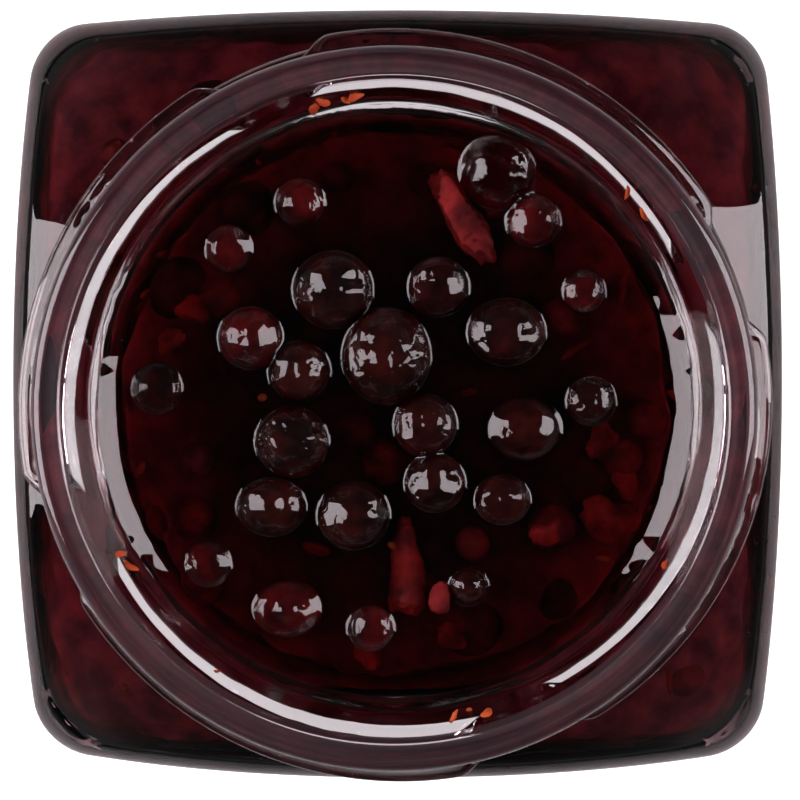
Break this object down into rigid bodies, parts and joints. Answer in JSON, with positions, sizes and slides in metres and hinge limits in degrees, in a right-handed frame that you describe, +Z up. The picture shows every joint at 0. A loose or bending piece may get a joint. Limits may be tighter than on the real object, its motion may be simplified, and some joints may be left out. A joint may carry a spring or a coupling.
{
  "type": "jam jar",
  "caption": "Square clear glass jar with a round lug neck, open and full of dark forest fruit jam with whole berries at the surface.",
  "frame": {"origin": "centre of the jar's underside, on the surface it stands on", "axes": "+Z up along the jar's axis, +X and +Y square to two of its flat sides"},
  "size_m": [0.0664, 0.0664, 0.098],
  "materials": {
    "clear_glass": "clear and polished",
    "dark_jelly": "wet, dark and clear at the surface",
    "dark_berry_skin": "wet glossy skin",
    "red_berry_skin": "wet glossy skin",
    "fruit_flesh": "wet soft fruit"
  },
  "bodies": {
    "root": {"jar": "clear_glass", "jam": "dark_jelly", "berry_01": "dark_berry_skin", "berry_02": "dark_berry_skin", "berry_03": "dark_berry_skin", "berry_04": "dark_berry_skin", "berry_05": "dark_berry_skin", "berry_06": "dark_berry_skin", "berry_07": "dark_berry_skin", "berry_08": "dark_berry_skin", "berry_09": "red_berry_skin", "berry_10": "red_berry_skin", "berry_11": "red_berry_skin", "berry_12": "dark_berry_skin", "berry_13": "dark_berry_skin", "berry_14": "red_berry_skin", "berry_15": "dark_berry_skin", "berry_16": "dark_berry_skin", "berry_17": "dark_berry_skin", "berry_18": "dark_berry_skin", "berry_19": "dark_berry_skin", "berry_20": "dark_berry_skin", "berry_21": "red_berry_skin", "berry_22": "red_berry_skin", "berry_23": "dark_berry_skin", "fruit_wedge": "fruit_flesh", "fruit_strip": "fruit_flesh", "fruit_bit": "fruit_flesh"}
  },
  "joints": []
}
